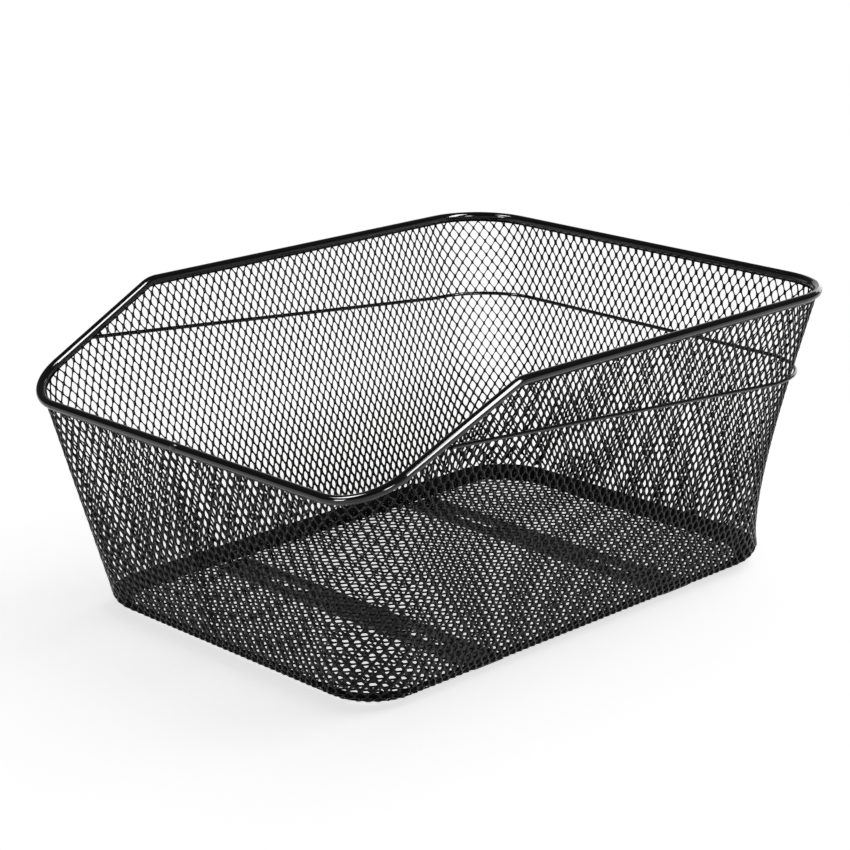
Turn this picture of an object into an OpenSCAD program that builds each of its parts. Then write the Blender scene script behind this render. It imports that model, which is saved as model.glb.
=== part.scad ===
// Rear carrier basket for a bicycle: a bent rim rod with a dropped front edge, expanded-metal walls and
// floor, a wire round three sides and two slotted bars under the floor. The front edge faces -Y.

/* [Rim] */
// Length of the rim from front to back, between rod centrelines
rim_l = 400; // [340:1:460]
// Width of the rim's level part, between rod centrelines
rim_w = 316; // [270:1:360]
// Diameter of the coated rim rod
rim_d = 5.4; // [4:0.1:9]
// Height of the rim's level part above the ground, to the rod centreline
back_h = 184; // [160:1:230]
// Height of the dropped front edge above the ground, to the rod centreline
front_h = 134; // [100:1:150]
// Distance from the front edge back to the bends where the rim levels out
drop_l = 107; // [80:1:150]
// Corner radius of the rim and the walls at the back
back_corner_r = 42; // [30:1:60]
// Corner radius of the rim and the walls at the front
front_corner_r = 34; // [28:1:50]
// Radius of the two bends where the rim levels out
bend_r = 22; // [12:1:40]

/* [Mesh] */
// How far each side wall leans out between floor and rim
side_lean = 35; // [15:1:50]
// How far the front wall leans out between floor and rim
front_lean = 28; // [10:1:40]
// How far the back wall leans out between floor and rim
back_lean = 7; // [2:1:30]
// Thickness of the coated sheet
sheet_t = 1.4; // [1:0.1:2.5]
// Pitch of the walls' diamond openings along the walls
cell_w = 16; // [12:1:30]
// Pitch of the walls' diamond openings up the walls, along their length
cell_h = 29; // [20:1:40]
// Pitch of the floor's diamond openings across the basket, along their length
floor_cell_l = 30; // [20:1:40]
// Pitch of the floor's diamond openings from front to back
floor_cell_w = 21; // [14:1:30]
// Width of the strands between the openings
strand = 2.2; // [1.5:0.1:4]
// Radius of the bend between walls and floor
edge_r = 10; // [6:1:16]
// Width of the plain edge that the sheet keeps along the rim rod and round the floor
hem = 2; // [1:0.5:4]
// Clearance at the welded seats, between sheet, rod and wire
seat_gap = 0.2; // [0.1:0.1:0.4]

/* [Wire] */
// Diameter of the coated wire that runs round the outside
wire_d = 2.4; // [1.6:0.1:5]
// Height of the wire's ends on the sloped rim, above the ground
wire_front_h = 157; // [145:1:165]
// Height of the wire along the back wall, above the ground
wire_back_h = 131; // [80:1:142]
// Radius of the two bends where the wire levels out before the back corners
wire_bend_r = 60; // [20:1:100]

/* [Bars] */
// Distance from the planes of the side walls in to the ends of each bar
bar_inset = 9; // [5:1:25]
// Width of each bar
bar_w = 24; // [18:1:36]
// Thickness of each bar
bar_t = 2.5; // [2:0.5:6]
// Distance from the floor's front edge back to the front bar
front_bar_inset = 103; // [60:1:130]
// Distance between the two bars
bar_spacing = 168; // [120:1:200]
// Length of each slot, end to end
slot_l = 40; // [20:1:60]
// Width of each slot
slot_w = 9; // [5:0.5:12]
// Distance between the two slots of a bar
slot_spacing = 120; // [80:1:160]

/* [Hidden] */
$fn = 48;

// The floor sheet lies on the bars. Wall leans are measured from the middle of its thickness.
mid_z = bar_t + sheet_t / 2;
floor_w = rim_w - 2 * side_lean;
side_k = side_lean / (back_h - mid_z);
front_k = front_lean / (front_h - mid_z);
back_k = back_lean / (back_h - mid_z);
floor_front = rim_l / 2 - front_lean;
floor_back = rim_l / 2 - back_lean;
bend_y = drop_l - rim_l / 2;
bar_l = floor_w - 2 * bar_inset;
bar_mid_y = front_bar_inset + bar_spacing / 2 - floor_front;
edge_z = mid_z + edge_r;
rod_seat = rim_d / 2 + seat_gap;
wire_out = sheet_t / 2 + wire_d / 2 + seat_gap;
drop_angle = atan((back_h - front_h) / drop_l);

// Openings keep the shape of a cell, drawn in by half a strand on each side
function share_of(half_w, half_l) = 1 - strand / 2 * norm([half_w, half_l]) / (half_w * half_l);
row_h = cell_h / 2;
open_share = share_of(cell_w / 2, row_h);
row_count = ceil((back_h - edge_z) / row_h);

// Stretches that join are drawn with a lap: one is a hair thicker and closes over the end of the other
lap = 0.02;
lap_l = 0.3;

function stretch(k) = sqrt(1 + k * k);
function side_x(z) = floor_w / 2 + side_k * (z - mid_z);
function front_y(z) = -floor_front - front_k * (z - mid_z);
function back_y(z) = floor_back + back_k * (z - mid_z);
function row_z(j) = edge_z + (j + 1) * row_h;

// Where a corner's bend begins on the walls that it joins
function front_turn_y(z) = front_y(z) + front_corner_r * stretch(front_k);
function back_turn_y(z) = back_y(z) - back_corner_r * stretch(back_k);
function turn_x(z, r) = side_x(z) - r * stretch(side_k);

function unit(v) = v / norm(v);
function diamond(a, b) = [[-a, 0], [0, -b], [a, 0], [0, b]];

// Point on a 2D line through p along d where it meets the line through q along e
function meet(p, d, q, e) = p + d * cross(q - p, e) / cross(d, e);

// Rods and wires

module rod_between(p, q, d) {
    w = unit(q - p);
    u = unit(cross(w, abs(w.z) < 0.9 ? [0, 0, 1] : [1, 0, 0]));
    v = cross(w, u);
    start = p - w * lap_l;
    multmatrix([[u.x, v.x, w.x, start.x], [u.y, v.y, w.y, start.y], [u.z, v.z, w.z, start.z]])
        cylinder(d = d + 2 * lap, h = norm(q - p) + 2 * lap_l);
}

// One bend at corner p of a rod that runs from a to b
module rod_bend(a, p, b, r, d) {
    to_a = unit(a - p);
    to_b = unit(b - p);
    half = acos(to_a * to_b) / 2;
    centre = p + unit(to_a + to_b) * r / sin(half);
    x = unit(p + to_a * r / tan(half) - centre);
    w = unit(cross(to_b, to_a));
    y = cross(w, x);
    turn = 180 - 2 * half;
    multmatrix([[x.x, y.x, w.x, centre.x], [x.y, y.y, w.y, centre.y], [x.z, y.z, w.z, centre.z]])
        rotate_extrude(angle = turn) translate([r, 0]) circle(d = d);
}

function bend_start(a, p, b, r) =
    let (to_a = unit(a - p), half = acos(to_a * unit(b - p)) / 2) p + to_a * r / tan(half);

// A rod through corner points, bent at each with its own radius
module bent_rod(points, radii, d, closed) {
    n = len(points);
    function at(i) = points[(i + n) % n];
    function leave(i) =
        !closed && i == 0 ? points[0] : bend_start(at(i + 1), at(i), at(i - 1), radii[i % n]);
    function arrive(i) =
        !closed && i == n - 1 ? points[n - 1] : bend_start(at(i - 1), at(i % n), at(i + 1), radii[i % n]);
    union() {
        for (i = [0 : closed ? n - 1 : n - 2]) rod_between(leave(i), arrive(i + 1), d);
        for (i = [closed ? 0 : 1 : closed ? n - 1 : n - 2])
            rod_bend(at(i - 1), at(i), at(i + 1), radii[i], d);
    }
}

module rim_rod() {
    front_x = side_x(front_h);
    half_w = rim_w / 2;
    half_l = rim_l / 2;
    right = [[front_x, -half_l, front_h], [half_w, bend_y, back_h], [half_w, half_l, back_h]];
    left = [for (i = [2 : -1 : 0]) [-right[i].x, right[i].y, right[i].z]];
    radii = [front_corner_r, bend_r, back_corner_r];
    color("#17181a")
        bent_rod(concat(right, left), concat(radii, [radii[2], radii[1], radii[0]]), rim_d, true);
}

module side_wire() {
    side_out = wire_out * stretch(side_k);
    back_out = wire_out * stretch(back_k);
    corner = [side_x(wire_back_h) + side_out, back_y(wire_back_h) + back_out, wire_back_h];
    // The wire stops under the sloped rod, one rod and one wire radius short of its centreline
    end_y = bend_y - drop_l * (back_h - wire_front_h) / (back_h - front_h)
        + (rim_d + wire_d) / 2 / sin(drop_angle);
    end = [side_x(wire_front_h) + side_out, end_y, wire_front_h];
    r = back_corner_r + wire_out;
    level_l = 2 * wire_bend_r * tan(atan((wire_front_h - wire_back_h) / rim_l));
    level = [corner.x, corner.y - r - level_l, corner.z];
    right = [end, level, corner];
    left = [for (i = [2 : -1 : 0]) [-right[i].x, right[i].y, right[i].z]];
    color("#1b1c1e") bent_rod(concat(right, left), [0, wire_bend_r, r, r, wire_bend_r, 0], wire_d, false);
}

// Expanded-metal walls. A wall is drawn flat, with height measured up its own slope.

module stand(turn, distance, k)
    rotate(turn) translate([distance, 0, mid_z]) rotate([0, atan(k), 0]) rotate([90, 0, 90]) children();

// Where opening i of row j sits between a sheet's two edges, from 0 to 1. Odd rows have an opening on each
// edge, which is moved out past it by a little so that its points don't lie on the edge.
function opening_place(i, j, count, length) =
    let (odd = (j + 1) % 2 == 0, out = lap_l / length)
    (odd ? i : i + 0.5) / count + (odd && i == 0 ? -out : odd && i == count ? out : 0);

// Diamond openings between two leaning edges, low and high, given at the floor with their change per height.
// Odd rows are shifted by half a cell, so that they reach across both edges.
module wall_openings(low, low_k, high, high_k, k) {
    count = max(2, round((high - low) / cell_w));
    function point(f, z) =
        let (rise = z - mid_z, a = low + low_k * rise, b = high + high_k * rise)
        [a + (b - a) * f, rise * stretch(k)];
    half_f = open_share / 2 / count;
    half_z = open_share * row_h;
    for (j = [-1 : row_count])
        for (i = [0 : count - (j + 1) % 2]) {
            f = opening_place(i, j, count, high - low);
            z = row_z(j);
            polygon([point(f - half_f, z), point(f, z - half_z), point(f + half_f, z), point(f, z + half_z)]);
        }
}

// Ring sector of the bend between wall and floor, from straight down to the slope of the wall
module edge_profile(lean_angle) {
    reach = 2 * edge_r;
    end = lean_angle - lap_l / edge_r * 180 / PI;
    intersection() {
        difference() {
            circle(edge_r + sheet_t / 2 + lap);
            circle(edge_r - sheet_t / 2 - lap);
        }
        polygon([[0, 0], [0, -reach], [reach, -reach], [reach * cos(end), -reach * sin(end)]]);
    }
}

// Half an opening in the bend, square to it half way round: a triangle that is widest where the bend meets
// the wall (side 1) or the floor (side -1), and comes to its point over the given length of the bend
module edge_opening(half_w, length, side, lean_angle) {
    half_arc = (90 - lean_angle) / 2;
    wide = edge_r * sin(half_arc);
    tip = edge_r * sin(half_arc - length / edge_r * 180 / PI);
    past = 1.5;
    far = tip + (wide - tip) * past;
    rotate([0, 180 - half_arc, 0]) translate([0, 0, edge_r]) rotate(90) mirror([0, side == 1 ? 0 : 1, 0])
        linear_extrude(edge_r, center = true)
            polygon([[-half_w * past, far], [0, tip], [half_w * past, far]]);
}

// The openings that the bend shares with the wall reach down it, those shared with the floor reach up it.
// The wall's foot row is widest one edge radius above the floor, a little above the bend.
function bend_l(k) = edge_r * (90 - atan(k)) * PI / 180;
function foot_row_l(k) = open_share * row_h * stretch(k);
function foot_share(k) = 1 - edge_r * k / foot_row_l(k);
function wall_cut_l(k) = min(foot_row_l(k) * foot_share(k), bend_l(k) - hem);
function floor_cut_l(k) = min(open_share * row_h, bend_l(k) - hem);

// Straight stretch of the bend at the foot of a wall, from low to high along it
module wall_foot(turn, distance, k, low, high) {
    lean_angle = atan(k);
    count = max(2, round((high - low) / cell_w));
    pitch = (high - low) / count;
    half_w = pitch / 2 * open_share;
    inner = distance + k * edge_r - edge_r * stretch(k);
    rotate(turn) translate([inner, 0, edge_z]) difference() {
        translate([0, low, 0]) rotate([-90, 0, 0]) mirror([0, 1, 0])
            linear_extrude(high - low) edge_profile(lean_angle);
        for (i = [0 : count]) translate([0, low + (high - low) * opening_place(i, -1, count, high - low), 0])
            edge_opening(half_w * foot_share(k), wall_cut_l(k), 1, lean_angle);
        for (i = [0 : count - 1]) translate([0, low + (i + 0.5) * pitch, 0])
            edge_opening(half_w, floor_cut_l(k), -1, lean_angle);
    }
}

// Flat wall with its foot. The sheet's outline and the outline that its openings keep to are point lists.
module wall(turn, distance, k, low, low_k, high, high_k, sheet, open) {
    stand(turn, distance, k)
        linear_extrude(sheet_t, center = true) difference() {
            polygon(sheet);
            intersection() {
                wall_openings(low, low_k, high, high_k, k);
                polygon(open);
            }
        }
    wall_foot(turn, distance, k, low + low_k * edge_r, high + high_k * edge_r);
}

// Height up a wall of slope k where the bend at its foot ends
function foot_top(k) = edge_r * stretch(k) - edge_r * k;

module plain_wall(turn, distance, k, top, r) {
    half = turn_x(mid_z, r);
    function outline(drop, side) =
        let (foot = foot_top(k), head = (top - mid_z) * stretch(k) - drop,
             a = half + side_k * foot / stretch(k) + side, b = half + side_k * head / stretch(k) + side)
        [[-a, foot - side], [a, foot - side], [b, head], [-b, head]];
    wall(turn, distance, k, -half, -side_k, half, side_k,
         outline(rod_seat, 0), outline(rod_seat + hem, cell_w));
}

module wall_front() color("#202124") plain_wall(-90, floor_front, front_k, front_h, front_corner_r);

module wall_back() color("#202124") plain_wall(90, floor_back, back_k, back_h, back_corner_r);

module wall_right() {
    q = stretch(side_k);
    low = front_turn_y(mid_z);
    high = back_turn_y(mid_z);
    foot = foot_top(side_k);
    level = (back_h - mid_z) * q;
    rise = (back_h - front_h) * q;
    slope_angle = atan(rise / drop_l);
    // The front edge of the wall leans forward and the back edge backward, with the corners
    function outline(drop, side) =
        let (bend = [bend_y + drop * tan(slope_angle / 2), level - drop],
             front = meet(bend, [drop_l, rise], [low - side, 0], [-front_k, q]),
             back = meet(bend, [1, 0], [high + side, 0], [back_k, q]))
        [[low - front_k * foot / q - side, foot - side], [high + back_k * foot / q + side, foot - side],
         back, bend, front];
    color("#202124")
        wall(0, floor_w / 2, side_k, low, -front_k, high, back_k,
             outline(rod_seat, 0), outline(rod_seat + hem, cell_w));
}

module wall_left() mirror([1, 0, 0]) wall_right();

// Round corner of the wall: a bent sheet whose axis leans with the edge of the two planes that it joins.
// The corner's own outward directions are +X, the side wall, and +Y, the end wall.
module corner(r, end_k, end_distance, cut) {
    side_n = unit([1, 0, -side_k]);
    end_n = unit([0, 1, -end_k]);
    axis = unit([side_k, end_k, 1]);
    v = cross(axis, side_n);
    sweep = atan2(end_n * v, end_n * side_n);
    base = [turn_x(mid_z, r), end_distance - r * stretch(end_k), mid_z];
    mean_k = (side_k + end_k) / 2;
    lean_angle = atan(mean_k);
    bottom = edge_z - edge_r * sin(lean_angle);
    arc_l = sweep * PI / 180 * r;
    count = max(2, round(arc_l / cell_w));
    half_w = r * sin(sweep / count / 2) * open_share;
    height = 2 * (back_h - mid_z);
    foot_r = (r - edge_r) * (stretch(side_k) + stretch(end_k)) / 2;
    difference() {
        intersection() {
            multmatrix([[side_n.x, v.x, axis.x, base.x], [side_n.y, v.y, axis.y, base.y],
                        [side_n.z, v.z, axis.z, base.z]])
                rotate_extrude(angle = sweep) translate([r - sheet_t / 2, 0]) square([sheet_t, height]);
            keep_between(bottom, rod_seat, cut);
        }
        intersection() {
            multmatrix([[side_n.x, v.x, axis.x, base.x], [side_n.y, v.y, axis.y, base.y],
                        [side_n.z, v.z, axis.z, base.z]])
                for (j = [-1 : row_count])
                    for (i = [0 : count - (j + 1) % 2])
                        rotate(sweep * opening_place(i, j, count, arc_l))
                            translate([r, 0, (row_z(j) - mid_z) / axis.z]) rotate([90, 0, 90])
                                linear_extrude(3 * sheet_t, center = true)
                                    polygon(diamond(half_w, open_share * row_h / axis.z));
            keep_between(bottom - row_h, rod_seat + hem, cut);
        }
    }
    translate([base.x + side_k * edge_r, base.y + end_k * edge_r, edge_z]) difference() {
        rotate_extrude(angle = 90) translate([foot_r, 0]) edge_profile(lean_angle);
        for (i = [0 : count]) rotate(90 * opening_place(i, -1, count, arc_l)) translate([foot_r, 0, 0])
            edge_opening(half_w * foot_share(mean_k), wall_cut_l(mean_k), 1, lean_angle);
        for (i = [0 : count - 1]) rotate((i + 0.5) * 90 / count) translate([foot_r, 0, 0])
            edge_opening(foot_r * sin(45 / count) * open_share, floor_cut_l(mean_k), -1, lean_angle);
    }
}

// Space from a level up to the rim, less a drop below the rod. The cut is the rim's slope there, 0 for level.
module keep_between(level, drop, cut) {
    span = rim_l;
    rim_z = cut == 0 ? back_h : front_h;
    top = rim_z - drop / cos(cut);
    rotate([90, 0, 90]) linear_extrude(span)
        polygon([[-span, level], [span, level], [span, top + (rim_l / 2 - span) * tan(cut)],
                 [-span, top + (rim_l / 2 + span) * tan(cut)]]);
}

module back_corner() color("#202124") corner(back_corner_r, back_k, floor_back, 0);

// The front corner is built facing +Y, so its rim rises towards -Y
module front_corner() color("#202124") corner(front_corner_r, front_k, floor_front, drop_angle);

module corner_back_right() back_corner();

module corner_back_left() mirror([1, 0, 0]) back_corner();

module corner_front_right() mirror([0, 1, 0]) front_corner();

module corner_front_left() mirror([1, 0, 0]) mirror([0, 1, 0]) front_corner();

// Floor sheet between the bends at the feet of the walls. An opening is centred over every slot of the bars.

module floor_outline(inset) {
    x = side_x(edge_z) - edge_r * stretch(side_k);
    front = front_y(edge_z) + edge_r * stretch(front_k);
    back = back_y(edge_z) - edge_r * stretch(back_k);
    front_r = front_corner_r - edge_r;
    back_r = back_corner_r - edge_r;
    difference() {
        translate([-x + inset, front + inset]) square([2 * (x - inset), back - front - 2 * inset]);
        for (s = [-1, 1]) {
            floor_round(s, 1, x, front, front_r, inset);
            floor_round(s, -1, x, -back, back_r, inset);
        }
    }
}

// What a round corner takes off the floor's sharp corner. Side is -1 or 1, end is 1 at the front.
module floor_round(side, end, x, edge, r, inset) {
    mirror([0, end == 1 ? 0 : 1]) mirror([side == 1 ? 0 : 1, 0]) difference() {
        translate([x - r, edge]) square([r + 1, r]);
        translate([x - r, edge + r]) circle(r - inset);
    }
}

module floor_mesh() {
    cols = 2 * round(slot_spacing / 2 / floor_cell_l);
    rows = 4 * round(bar_spacing / 2 / floor_cell_w);
    pitch_x = slot_spacing / cols;
    pitch_y = bar_spacing / rows;
    share = share_of(pitch_x / 2, pitch_y);
    reach_x = ceil(floor_w / 2 / pitch_x);
    reach_y = ceil(rim_l / 2 / pitch_y) + 1;
    color("#202124") translate([0, 0, bar_t]) linear_extrude(sheet_t) difference() {
        floor_outline(0);
        intersection() {
            translate([0, bar_mid_y])
                for (j = [-reach_y : reach_y])
                    for (i = [-reach_x : reach_x])
                        translate([(i + abs(j) % 2 / 2) * pitch_x, j * pitch_y])
                            polygon(diamond(pitch_x / 2 * share, pitch_y * share));
            floor_outline(hem);
        }
    }
}

// Slotted bars under the floor

module bar(y) {
    color("#2a2b2e") translate([0, y, 0]) difference() {
        translate([-bar_l / 2, -bar_w / 2, 0]) cube([bar_l, bar_w, bar_t]);
        for (s = [-1, 1]) translate([s * slot_spacing / 2, 0, -bar_t / 2]) {
            straight = slot_l - slot_w;
            translate([-straight / 2, -slot_w / 2, 0]) cube([straight, slot_w, 2 * bar_t]);
            for (e = [-1, 1]) translate([e * straight / 2, 0, 0]) cylinder(d = slot_w, h = 2 * bar_t);
        }
    }
}

module front_bar() bar(bar_mid_y - bar_spacing / 2);

module back_bar() bar(bar_mid_y + bar_spacing / 2);

rim_rod();
side_wire();
floor_mesh();
wall_front();
wall_right();
wall_back();
wall_left();
corner_front_right();
corner_back_right();
corner_back_left();
corner_front_left();
front_bar();
back_bar();
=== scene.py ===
from math import cos, exp, pi, radians, sin

import bmesh
import bpy
import numpy as np
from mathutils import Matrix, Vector


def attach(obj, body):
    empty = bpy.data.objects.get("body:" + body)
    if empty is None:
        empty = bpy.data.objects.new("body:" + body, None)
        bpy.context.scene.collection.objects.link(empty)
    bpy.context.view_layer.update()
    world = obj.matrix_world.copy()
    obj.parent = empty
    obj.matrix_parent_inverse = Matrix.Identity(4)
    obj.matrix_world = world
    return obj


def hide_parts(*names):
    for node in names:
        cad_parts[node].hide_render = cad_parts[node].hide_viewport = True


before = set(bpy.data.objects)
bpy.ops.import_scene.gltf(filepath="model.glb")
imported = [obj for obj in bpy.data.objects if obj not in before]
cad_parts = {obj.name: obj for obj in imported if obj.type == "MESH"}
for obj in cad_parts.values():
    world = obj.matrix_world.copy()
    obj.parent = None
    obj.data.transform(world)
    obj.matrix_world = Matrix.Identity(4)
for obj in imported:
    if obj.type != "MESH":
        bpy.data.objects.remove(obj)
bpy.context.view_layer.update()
scene = bpy.context.scene


# Rim rod: one length of 5.4 mm round steel, bent round the mouth with a dropped front edge. The whole basket
# was welded bare and then dipped, so the rod carries a thick black coat with a wet gloss and a faint ripple.
class Tone:
    """A socket in one material's nodes. Sums and products of tones become Math nodes."""

    def __init__(self, tree, socket=None):
        self.tree, self.socket = tree, socket

    def node(self, kind, settings=(), sockets=(), out=0):
        """Makes a node, with its settings and its input sockets by name, and returns one of its outputs."""
        made = self.tree.nodes.new(kind)
        for name, value in dict(settings).items():
            setattr(made, name, value)
        for name, value in dict(sockets).items():
            if isinstance(value, Tone):
                self.tree.links.new(value.socket, made.inputs[name])
            else:
                made.inputs[name].default_value = value
        return Tone(self.tree, made.outputs[out])

    def maths(self, operation, a, b):
        return self.node("ShaderNodeMath", {"operation": operation}, {0: a, 1: b})

    def __add__(self, other):
        return self.maths("ADD", self, other)

    def __rsub__(self, other):
        return self.maths("SUBTRACT", other, self)

    def __mul__(self, other):
        return self.maths("MULTIPLY", self, other)

    __radd__, __rmul__ = __add__, __mul__

    def noise(self, scale, detail=2.0, roughness=0.5):
        sockets = {"Vector": self, "Scale": scale, "Detail": detail, "Roughness": roughness}
        return self.node("ShaderNodeTexNoise", {}, sockets)

    def between(self, low, high):
        sockets = {"Value": self, "From Min": low, "From Max": high}
        return self.node("ShaderNodeMapRange", {"clamp": True}, sockets)

    def mix(self, a, b):
        return self.node("ShaderNodeMix", {"data_type": "RGBA"}, {0: self, 6: (*a, 1), 7: (*b, 1)}, out=2)

    def bump(self, strength, metres):
        return self.node("ShaderNodeBump", {}, {"Height": self, "Strength": strength, "Distance": metres})

    def into(self, shader, name):
        self.tree.links.new(self.socket, shader.inputs[name])


def new_finish(name):
    """A new material, the place on its piece as a tone, and its shader."""
    finish = bpy.data.materials.new(name)
    finish.use_nodes = True
    place = Tone(finish.node_tree).node("ShaderNodeTexCoord", out="Object")
    return finish, place, finish.node_tree.nodes["Principled BSDF"]


def dipped_coat(name, deep, thin, rough, rough_spread, ripple_mm, ripple_per_m, ior=1.42, coat=0.22):
    """Black dip coat: deep where it gathers, a little paler where it drains thin, rippled like orange peel."""
    finish, place, shader = new_finish(name)
    drained = place.noise(45.0, 5.0).between(0.35, 0.7)
    scuffed = place.noise(380.0, 6.0, 0.7).between(0.62, 0.8)
    drained.mix(deep, thin).into(shader, "Base Color")
    (rough + rough_spread * drained + 0.16 * scuffed).into(shader, "Roughness")
    (coat * (1 - 0.9 * scuffed)).into(shader, "Coat Weight")
    place.noise(ripple_per_m).bump(0.5, ripple_mm * 0.001).into(shader, "Normal")
    shader.inputs["IOR"].default_value = ior
    shader.inputs["Coat Roughness"].default_value = 0.06
    return finish


def dress(mesh, finish):
    """Gives a mesh one finish, in place of any that it came with."""
    mesh.materials.clear()
    mesh.materials.append(finish)


dress(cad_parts["rim_rod"].data,
      dipped_coat("rod_coat", (0.004, 0.004, 0.0045), (0.007, 0.007, 0.008), 0.08, 0.05, 0.012, 240.0))


# Rim joint: the two ends of the rod meet near the middle of the front edge, where a small butt weld was
# left proud, dressed by hand and coated over.
joint_x, joint_y, joint_z = -0.0025, -0.2, 0.134
joint_r, joint_l, proud, bead = 0.00266, 0.0075, 0.00045, 0.0019
joint_rings, joint_sides = 15, 36
joint_mesh = bpy.data.meshes.new("rim_joint")
joint = bpy.data.objects.new("rim_joint", joint_mesh)
scene.collection.objects.link(joint)
shape = bmesh.new()
loops = []
for a in range(joint_rings):
    along = (a / (joint_rings - 1) - 0.5) * joint_l
    loop = []
    for b in range(joint_sides):
        turn = 2 * pi * b / joint_sides
        lump = 1 + 0.22 * sin(3 * turn + 900 * along) + 0.14 * sin(7 * turn - 1500 * along)
        r = joint_r + proud * lump * exp(-((along / bead) ** 2))
        loop.append(shape.verts.new((joint_x + along, joint_y + r * cos(turn), joint_z + r * sin(turn))))
    loops.append(loop)
for low, high in zip(loops, loops[1:]):
    for b in range(joint_sides):
        shape.faces.new((low[b], high[b], high[b - 1], low[b - 1]))
shape.faces.new(loops[0])
shape.faces.new(loops[-1][::-1])
bmesh.ops.recalc_face_normals(shape, faces=shape.faces)
for face in shape.faces:
    face.smooth = True
shape.to_mesh(joint_mesh)
shape.free()
dress(joint_mesh,
      dipped_coat("joint_coat", (0.005, 0.005, 0.0055), (0.014, 0.014, 0.015), 0.2, 0.12, 0.08, 900.0))
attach(joint, "root")


# Wall sheet: one strip of expanded steel, wrapped round the rim's shape so that it flares and has round corners,
# rolled in at the foot and welded to the rod above. Its openings are upright ovals. Its sizes here are in mm, in
# columns of openings along the strip and in half rows up it.
mid_z, foot_r, foot_x, foot_front, foot_back = 3.2, 10.0, 123, -172, 193
side_k, front_k, back_k = 35 / 180.8, 28 / 130.8, 7 / 180.8
front_r, back_r = 34.0, 42.0
rim_top, drop_y, drop_h, drop_l = 184, -93, 50, 107
wall_columns = np.cumsum([0, 35, 7.5, 53, 9, 33, 9, 53, 7.5])
around, wall_rows, corner_reach = wall_columns[-1], 48, 5
middle_m, middle_row, half_row, half_row_less, foot_squeeze = 95.0, 24, 5.4, 0.7, 0.68
foot_low, foot_top, spare_z = -2.7, 14.0, 12
pulled_in, pulled_skew = 6.5, 0.66
sheet_t, upper_lean, foot_lean = 0.78, 0.12, 0.25
low_scale, scale_from, scale_over = 0.77, 15, 80


def stretch(k):
    """Length along a wall with lean k, for each mm of height."""
    return np.sqrt(1 + k * k)


def ring(c, z):
    """Place, outward direction and lean of the wall's middle at column c, height z. Columns run anticlockwise from
    the front wall's left end, through flat walls (even parts) and round corners (odd parts)."""
    side_x = foot_x + side_k * (z - mid_z)
    front_y = foot_front - front_k * (z - mid_z)
    back_y = foot_back + back_k * (z - mid_z)
    c = np.mod(c, around)
    part = np.searchsorted(wall_columns, c, side="right") - 1
    f = (c - wall_columns[part]) / np.diff(wall_columns)[part]
    front = (part == 0) | (part == 1) | (part == 7)
    r = np.where(front, front_r, back_r)
    end_k = np.where(front, front_k, back_k)
    turn_x = side_x - r * stretch(side_k)
    front_turn = front_y + front_r * stretch(front_k)
    back_turn = back_y - back_r * stretch(back_k)
    turned = part % 2 == 1
    angle = np.radians(90 * (part // 2 - 1) + np.where(turned, 90 * f, 0))
    nx, ny = np.cos(angle), np.sin(angle)
    corner_x = np.where((part == 1) | (part == 3), turn_x, -turn_x)
    corner_y = np.where(front, front_turn, back_turn)
    x = np.choose(part % 4, [(2 * f - 1) * turn_x, 0 * f, side_x, 0 * f])
    x = np.where((part == 4) | (part == 6), -x, x)
    side_y = front_turn + (back_turn - front_turn) * f
    y = np.choose(part % 4, [np.where(front, front_y, back_y), 0 * f, side_y, 0 * f])
    y = np.where(part == 6, back_turn + (front_turn - back_turn) * f, y)
    x = np.where(turned, corner_x + r * stretch(side_k) * nx, x)
    y = np.where(turned, corner_y + r * stretch(end_k) * ny, y)
    return x, y, nx, ny, side_k * nx * nx + end_k * ny * ny


def rim_z(y):
    """Height of the rod's middle: level at the back and along the sides, then sloping down to the front edge."""
    return np.minimum(rim_top, rim_top + (y - drop_y) * drop_h / drop_l)


def drawn_wide(c, corners=slice(0, 4)):
    """How far column c is drawn wide, as the sheet is round corners: 0 on the flat walls, 1 in a corner's middle."""
    middles = (wall_columns[1::2] + wall_columns[2::2]) / 2
    spans = (wall_columns[2::2] - wall_columns[1::2]) / 2 + corner_reach
    apart = np.abs(np.mod(c[:, None] - middles + around / 2, around) - around / 2)
    return (np.cos(pi / 2 * np.minimum(apart / spans, 1)) ** 2)[:, corners].sum(1)


def pulled(c, z):
    """How far the two back corners are pulled in between foot and rim, most at a third of their height."""
    low = mid_z + foot_r
    up = np.clip((z - low) / (rim_top - low), 0, 1)
    return pulled_in * drawn_wide(c, slice(1, 3)) * np.sin(pi * up ** pulled_skew)


def on_wall(c, m, out):
    """Place on the wall m mm up the sheet from the floor, out mm outward from its middle."""
    edge_z = mid_z + foot_r
    x, y, nx, ny, k = ring(c, np.full_like(m, edge_z))
    q = stretch(k)
    bend = foot_r * (pi / 2 - np.arctan(k))
    turn = np.maximum(m, 0) / foot_r - pi / 2
    rolled = (foot_r + out) * np.cos(turn) - foot_r * q + np.minimum(m, 0)
    rolled_z = edge_z + (foot_r + out) * np.sin(turn)
    z = edge_z - foot_r * k / q + (m - bend) / q
    wx, wy, *_ = ring(c, z)
    out = out - pulled(c, z)
    foot = m < bend
    return np.stack([np.where(foot, x + nx * rolled, wx + nx * out / q),
                     np.where(foot, y + ny * rolled, wy + ny * out / q),
                     np.where(foot, rolled_z, z - out * k / q)], -1)


def up_wall(c, row):
    """How far up the sheet a half row lies. Rows lie closer where the sheet is drawn wide, and in its foot."""
    m = middle_m + (half_row - half_row_less * drawn_wide(c)) * (row - middle_row)
    return np.where(m < foot_top, foot_top + foot_squeeze * (m - foot_top), m)


def oval(tip, middle, side):
    """Corners of one opening, from its upper tip clockwise, in columns and half rows from its middle."""
    upper = [tip, middle, side]
    right = upper + [(c, -m) for c, m in reversed(upper)]
    return np.array(right + [(-c, m) for c, m in reversed(right)])


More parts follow.
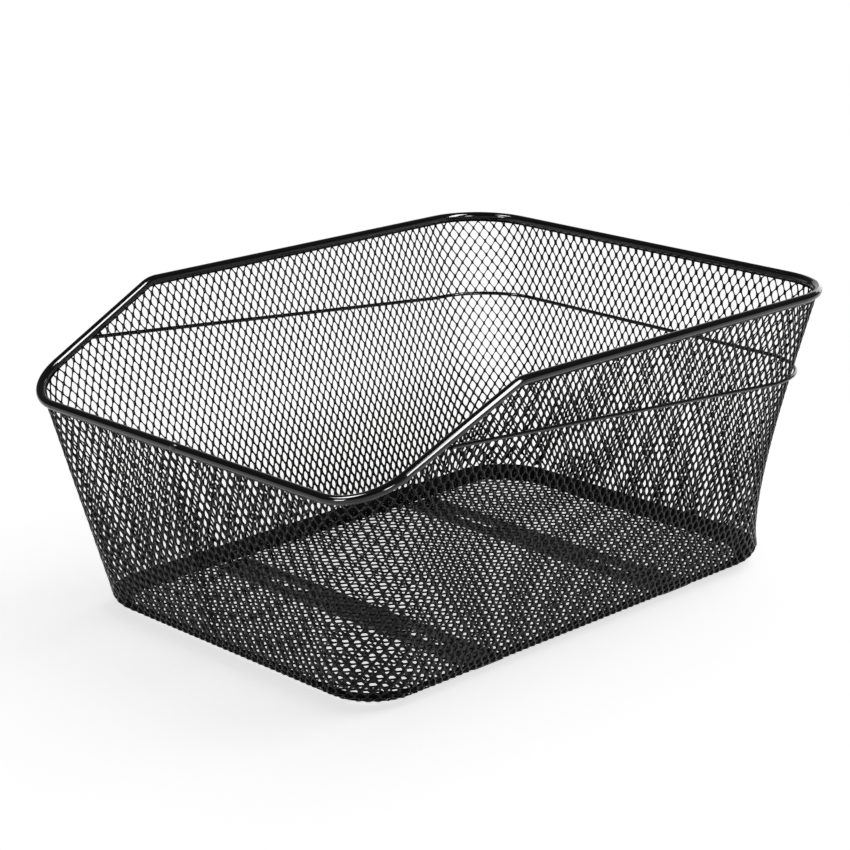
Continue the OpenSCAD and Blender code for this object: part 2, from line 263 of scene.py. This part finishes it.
def net(columns, rows, wrap, keep, own, opening, thick, lean):
    """Expanded sheet: lattice places (column, half row, height through the sheet) and the faces of its strands and
    knots, for the cells that own picks among those that keep leaves. Each strand leans through the sheet by lean,
    as the expanding press leaves it."""
    j, i = (a.ravel() for a in np.mgrid[0:rows, 0:columns])
    at = i + 0.5 * (j % 2)
    there, mine, corners = keep(at, j), own(at, j), opening(at, j)
    c, m = at[:, None] + corners[..., 0], j[:, None] + corners[..., 1]
    leans = lean(at, j)[:, None] * np.array([1, 0.25, -0.5, 0.5, -0.25, -1, -1, -0.25, 0.5, -0.5, 0.25, 1])
    sides = [np.stack([c, m, leans + h], -1) for h in (thick / 2, -thick / 2)]
    spots = np.stack(sides, 2).reshape(-1, 3)

    def cell(row, column):
        column = column % columns if wrap else column
        inside = (row >= 0) & (row < rows) & (column >= 0) & (column < columns)
        number = np.clip(row, 0, rows - 1) * columns + np.clip(column, 0, columns - 1)
        return np.where(inside & there[number], number, -1)

    faces = []

    def plate(known, names, open_edges):
        known = known & there & mine
        for face in np.stack([(cells * 12 + k)[known] * 2 for cells, k in names], 1).tolist():
            faces.append(face)
            faces.append([v + 1 for v in reversed(face)])
            for a, b in open_edges:
                p, q = face[a], face[b]
                faces.append([q, p, p + 1, q + 1])

    me = j * columns + i
    odd = j % 2
    right, above = cell(j, i + 1), cell(j + 1, i + odd)
    left_above, below = cell(j + 1, i - 1 + odd), cell(j - 1, i + odd)
    for k in (0, 1):
        plate(above >= 0, [(me, k + 1), (above, 7 - k), (above, 8 - k), (me, k)], [(1, 2), (3, 0)])
        plate(left_above >= 0, [(me, 10 - k), (me, 11 - k), (left_above, 3 + k), (left_above, 4 + k)],
              [(0, 1), (2, 3)])
    knot = (right >= 0) & (above >= 0)
    top = [(right, 8), (right, 9), (above, 5), (above, 6), (me, 2), (me, 3)]
    plate(knot & (below >= 0), top + [(below, 11), (below, 0)], [(0, 1), (2, 3), (4, 5), (6, 7)])
    plate(knot & (below < 0), top, [(0, 1), (2, 3), (4, 5), (5, 0)])
    used, numbers = np.unique(np.concatenate([np.array(f) for f in faces]), return_inverse=True)
    cuts = np.cumsum([len(f) for f in faces])[:-1]
    return spots[used], [f.tolist() for f in np.split(numbers, cuts)]


def every(c, row):
    """Picks every cell of a net."""
    return row >= 0


def sheet_piece(name, places, faces, planes, finish):
    """Makes a mesh piece in metres, cut off above planes and closed where it was cut."""
    mesh = bpy.data.meshes.new(name)
    mesh.from_pydata((places * 0.001).tolist(), [], faces)
    shape = bmesh.new()
    shape.from_mesh(mesh)
    for point, up in planes:
        bmesh.ops.bisect_plane(shape, geom=shape.verts[:] + shape.edges[:] + shape.faces[:], dist=1e-7,
                               plane_co=Vector(point) * 0.001, plane_no=up, clear_outer=True)
    bmesh.ops.holes_fill(shape, edges=[e for e in shape.edges if e.is_boundary], sides=10)
    for face in shape.faces:
        face.smooth = True
    shape.to_mesh(mesh)
    shape.free()
    piece = bpy.data.objects.new(name, mesh)
    scene.collection.objects.link(piece)
    dress(mesh, finish)
    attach(piece, "root")
    return piece


def below_rim(c, row):
    """Keeps the cells from the rolled-in foot to a little above the rod, where the sheet is then cut."""
    m = up_wall(c, row)
    x, y, z = on_wall(c, m, 0 * c).T
    return (m > foot_low) & (z < rim_z(y) + spare_z)


def wall_opening(c, row):
    """Openings are tall ovals, wider round the corners, smaller lower down and squat in the rolled-in foot."""
    m, wide = up_wall(c, row)[:, None, None], drawn_wide(c)[:, None, None]
    scale = low_scale + (1 - low_scale) * np.clip((m - scale_from) / scale_over, 0, 1)
    return np.where(m < foot_top, foot_oval, (high_oval + wide * (corner_oval - high_oval)) * scale)


def wall_lean(c, row):
    return np.where(up_wall(c, row) < foot_top, foot_lean, upper_lean)


def wall_length(name, first, last, *nodes):
    """The part of the strip between two of the wall's turning places, counted from the front wall's left end."""
    def own(c, row):
        return np.mod(c - wall_columns[first], around) < wall_columns[last] - wall_columns[first]

    spots, faces = net(int(around), wall_rows, True, below_rim, own, wall_opening, sheet_t, wall_lean)
    places = on_wall(spots[:, 0], up_wall(*spots[:, :2].T), spots[:, 2])
    piece = sheet_piece(name, places, faces, rim_planes, net_coat)
    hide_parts(*nodes)


high_oval = oval((0.095, 0.68), (0.245, 0.445), (0.365, 0.165))
corner_oval = oval((0.06, 0.74), (0.222, 0.46), (0.388, 0.125))
foot_oval = oval((0.07, 0.7), (0.225, 0.5), (0.385, 0.25))
rim_planes = [((0, 0, rim_top), (0, 0, 1)), ((0, drop_y, rim_top), (0, -drop_h, drop_l))]
net_coat = dipped_coat("mesh_coat", (0.002, 0.002, 0.0026), (0.007, 0.007, 0.0085), 0.17, 0.09, 0.03, 1300.0,
                       ior=1.19, coat=0.06)
wall_length("wall_mesh_front", 0, 2, "wall_front", "corner_front_right")
wall_length("wall_mesh_right", 2, 4, "wall_right", "corner_back_right")
wall_length("wall_mesh_back", 4, 6, "wall_back", "corner_back_left")
wall_length("wall_mesh_left", 6, 8, "wall_left", "corner_front_left")


# Wall edge: the sheet's plain upper edge, welded along under the rod. The dip coat gathers in the corner between
# them and fills the last tips of the openings, so that the rim looks thicker from inside than the rod is.
def plain_band(name, profile, finish):
    """A closed ring of plain sheet round the wall. Its profile is pairs of m up the sheet and out from its middle."""
    places = np.concatenate([on_wall(band_c, m + 0 * band_c, out + 0 * band_c) for m, out in profile])
    count, sides = len(band_c), len(profile)
    faces = []
    for p in range(sides):
        here, above = p * count, (p + 1) % sides * count
        for k in range(count):
            on = (k + 1) % count
            faces.append([here + k, here + on, above + on, above + k])
    return sheet_piece(name, places, faces, [], finish)


band_c = np.arange(0, around, 0.5)
edge_m, edge_wide, edge_half_t = 150 + 0 * band_c, 3.7, 0.55
for step in range(12):
    x, y, z = on_wall(band_c, edge_m, 0 * band_c).T
    edge_m = edge_m + rim_z(y) - z
edge_low = edge_m - edge_wide
plain_band("wall_edge", [(edge_low, edge_half_t), (edge_m, edge_half_t),
                         (edge_m, -edge_half_t), (edge_low, -edge_half_t)], net_coat)


# Strip seam: the wall strip's end laps over its beginning by a couple of openings on the front wall, under
# the rim joint, and is spot-welded there.
seam_c, seam_columns, seam_low, seam_out = 15.4, 2, 17, 2 * sheet_t


def on_seam(c, row):
    return below_rim(seam_c + c, row) & (up_wall(seam_c + c, row) > seam_low)


spots, faces = net(seam_columns, wall_rows, False, on_seam, every,
                   lambda c, row: wall_opening(seam_c + c, row), sheet_t,
                   lambda c, row: wall_lean(seam_c + c, row))
spots[:, 0] += seam_c
places = on_wall(spots[:, 0], up_wall(*spots[:, :2].T), spots[:, 2] + seam_out)
sheet_piece("wall_seam", places, faces, rim_planes, net_coat)


# Floor sheet: a second piece of expanded steel, laid flat with its openings across the basket. It is trimmed here
# to its flat part, a box with round corners. Its sizes are in mm, and its half rows run across the basket.
floor_x, floor_front, floor_back, floor_front_r, floor_back_r = 114.8, -163.9, 183.4, 24.0, 32.0
floor_half_row, floor_column, floor_columns, floor_rows = 5.17, 7.2, 54, 52
floor_t, floor_lean, floor_spare, trim_steps = 0.7, 0.35, 9, 7
floor_middle = (floor_front + floor_back) / 2
first_x, first_y = -floor_rows / 2 * floor_half_row, floor_middle + floor_columns / 2 * floor_column
floor_oval = oval((0.05, 0.67), (0.195, 0.45), (0.345, 0.145))


def on_floor(c, row):
    """Whether a cell reaches the floor's flat part."""
    x, y = first_x + floor_half_row * row, first_y - floor_column * c
    front = y < floor_middle
    r = np.where(front, floor_front_r, floor_back_r)
    past_x = np.maximum(np.abs(x) - (floor_x - r), 0)
    past_y = np.maximum(np.where(front, floor_front + r - y, y - floor_back + r), 0)
    return np.hypot(past_x, past_y) < r + floor_spare


trims = []
for sign in (-1, 1):
    trims.append(((sign * floor_x, 0, 0), (sign, 0, 0)))
    end, r = (floor_front, floor_front_r) if sign < 0 else (floor_back, floor_back_r)
    trims.append(((0, end, 0), (0, sign, 0)))
    for side in (-1, 1):
        for step in range(1, trim_steps):
            turn = step * pi / 2 / trim_steps
            way = Vector((side * cos(turn), sign * sin(turn), 0))
            trims.append((Vector((side * (floor_x - r), end - sign * r, 0)) + way * r, way))
spots, faces = net(floor_columns, floor_rows, False, on_floor, every,
                   lambda c, row: floor_oval + 0 * c[:, None, None], floor_t,
                   lambda c, row: floor_lean + 0 * c)
places = np.stack([first_x + floor_half_row * spots[:, 1], first_y - floor_column * spots[:, 0],
                   mid_z + spots[:, 2]], -1)
floor_sheet = sheet_piece("floor_sheet", places, faces, trims, net_coat)
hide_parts("floor_mesh")


# Floor border: a dark, matte ring in the gap between the foot of the walls and the floor sheet's edge. It is partly
# the dip coat that fills the gap and partly painted shade between the two layers of mesh, so that the openings of the
# bottom edge are closed and black.
border_in, border_t, border_m = 0.7, 0.4, np.linspace(-2.5, 13.4, 13)
# Painted shade: near-black colour with almost no gloss, standing partly for the coat that fills the gap and partly
# for the shade between the two layers of mesh.
finish, place, shader = new_finish("border_coat_and_shade")
drained = place.noise(90.0)
drained.mix((0.002, 0.002, 0.0025), (0.004, 0.004, 0.0048)).into(shader, "Base Color")
(0.55 + 0.2 * drained).into(shader, "Roughness")
shader.inputs["Specular IOR Level"].default_value = 0.03
outer = [(m, -border_in) for m in border_m]
inner = [(m, -border_in - border_t) for m in border_m[::-1]]
plain_band("floor_border", outer + inner, finish)


# Floor edge: the floor sheet's own edge, turned up all round inside the foot of the walls and spot-welded to it.
# Its openings don't meet those of the walls.
turned_middle, turned_half, turned_t, turned_out, turned_shift = 5.3, 6.3, 0.5, -1.65, 0.3


def on_turned_edge(c, row):
    return np.abs(up_wall(c, row) - turned_middle) < turned_half


spots, faces = net(int(around), wall_rows, True, on_turned_edge, every, wall_opening, turned_t, wall_lean)
places = on_wall(spots[:, 0] + turned_shift, up_wall(*spots[:, :2].T), spots[:, 2] + turned_out)
sheet_piece("floor_edge", places, faces, [], net_coat)


# Floor bars: two flat steel bars welded across under the floor, each punched with two long slots for the
# bolts that hold the basket to a carrier. They are dipped black with the rest; their colour is painted a lighter
# grey, a painted reflection of the bright light above that reaches them through the floor mesh.
def bar_coat_and_sheen(name):
    finish, place, shader = new_finish(name)
    streaks = place.node("ShaderNodeMapping", {}, {"Vector": place, "Scale": (30.0, 420.0, 420.0)})
    rolled = streaks.noise(1.0, 5.0).between(0.3, 0.75)
    blotch = place.noise(70.0, 4.0).between(0.4, 0.7)
    # Painted reflection: the base colour is a lighter grey than the black coat, standing in for the bright light the
    # bars reflect through the floor mesh; the streaks and blotches in it are the coat's own.
    (0.5 * rolled + 0.5 * blotch).mix((0.06, 0.06, 0.063), (0.105, 0.105, 0.11)).into(shader, "Base Color")
    (0.34 + 0.14 * rolled).into(shader, "Roughness")
    (0.5 - 0.3 * blotch).into(shader, "Coat Weight")
    rolled.bump(0.4, 0.00005).into(shader, "Normal")
    shader.inputs["Coat Roughness"].default_value = 0.12
    return finish


for name in ("front_bar", "back_bar"):
    dress(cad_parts[name].data, bar_coat_and_sheen(name + "_coat"))


# Side wire: a 2.4 mm wire round the outside of both sides and the back, welded to the mesh and to the two sloped
# stretches of the rim, to stiffen the walls. It was pressed to the sheet, so it follows the pulled-in corners.
wire_z, wire_c = 131.0, np.linspace(0, around, 4000)
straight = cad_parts["side_wire"]
wire_mesh = straight.data.copy()
wire = bpy.data.objects.new("wire_pressed", wire_mesh)
scene.collection.objects.link(wire)
places = np.array([straight.matrix_world @ vertex.co for vertex in straight.data.vertices])
x, y, nx, ny, k = ring(wire_c, wire_z + 0 * wire_c)
near = np.array([np.hypot(x - px, y - py).argmin() for px, py in places[:, :2] * 1000])
inward = (pulled(wire_c, wire_z) / stretch(k))[near, None] * 0.001
places[:, :2] -= inward * np.stack([nx, ny], -1)[near]
wire_mesh.vertices.foreach_set("co", places.ravel())
dress(wire_mesh,
      dipped_coat("wire_coat", (0.004, 0.004, 0.0045), (0.009, 0.009, 0.010), 0.14, 0.08, 0.02, 400.0))
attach(wire, "root")
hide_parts("side_wire")


# Studio: a plain white table under one soft lamp from behind, so that a faint shadow lies in front. The table
# shows its white to the camera and in the gloss of the coat, and so do soft lamps round the basket.
table_half, table_z = 9, -0.0002
table_mesh = bpy.data.meshes.new("table")
table_corners = [(x * table_half, y * table_half, table_z) for x, y in ((-1, -1), (1, -1), (1, 1), (-1, 1))]
table_mesh.from_pydata(table_corners, [], [(0, 1, 2, 3)])
table = bpy.data.objects.new("table", table_mesh)
scene.collection.objects.link(table)
finish, place, shader = new_finish("table_white")
shader.inputs["Base Color"].default_value = (0.9, 0.9, 0.9, 1)
shader.inputs["Roughness"].default_value = 0.9
shader.inputs["Specular IOR Level"].default_value = 0.0
seen = place.node("ShaderNodeLightPath", out="Is Camera Ray")
mirrored = place.node("ShaderNodeLightPath", out="Is Glossy Ray")
(seen + mirrored).mix((0, 0, 0), (0.72, 0.72, 0.72)).into(shader, "Emission Color")
shader.inputs["Emission Strength"].default_value = 1.0
dress(table_mesh, finish)

world = bpy.data.worlds.new("studio")
scene.world = world
world.use_nodes = True
world.node_tree.nodes["Background"].inputs["Color"].default_value = (0.10, 0.10, 0.10, 1)


def hang(name, light, toward):
    """Puts a lamp in the scene, shining toward a direction."""
    lamp = bpy.data.objects.new(name, light)
    lamp.rotation_euler = Vector(toward).to_track_quat("-Z", "Y").to_euler()
    scene.collection.objects.link(lamp)
    return lamp


key = bpy.data.lights.new("key", "SUN")
key.energy, key.angle = 0.9, radians(60)
hang("key", key, (-0.15, -0.6, -0.8)).visible_glossy = False

box_away = 2.2
for name, way, across, tall, watts in (
        ("side_box", (0.72, 0.16, 0.66), 0.7, 2.0, 120),
        ("low_box", (0.88, -0.4, 0.22), 0.5, 0.45, 20),
        ("front_box", (-0.3, -0.5, 0.81), 0.8, 0.5, 34),
        ("left_box", (-0.1, -0.97, 0.22), 0.5, 0.45, 20),
        ("back_box", (-0.2, 0.93, 0.25), 1.0, 0.9, 6),
        ("far_box", (-0.68, 0.68, 0.3), 1.3, 0.7, 2.0)):
    light = bpy.data.lights.new(name, "AREA")
    light.shape, light.size, light.size_y, light.energy = "RECTANGLE", across, tall, watts
    lamp = hang(name, light, -Vector(way))
    lamp.location = Vector(way).normalized() * box_away
    lamp.visible_diffuse = False

view_turn, view_tilt, view_away = radians(45.267), radians(17.266), 1.5267
view_target, focal_px, photo_px = Vector((-0.051482, 0.042993, 0.0832)), 2370.5, 850
eye = bpy.data.cameras.new("camera")
eye.sensor_width = 36
eye.lens = focal_px / photo_px * eye.sensor_width
eye.clip_end = 60
camera = bpy.data.objects.new("camera", eye)
look = Vector((-sin(view_turn) * cos(view_tilt), cos(view_turn) * cos(view_tilt), -sin(view_tilt)))
camera.location = view_target - look * view_away
camera.rotation_euler = look.to_track_quat("-Z", "Y").to_euler()
scene.collection.objects.link(camera)
scene.camera = camera
scene.view_settings.view_transform = "Standard"
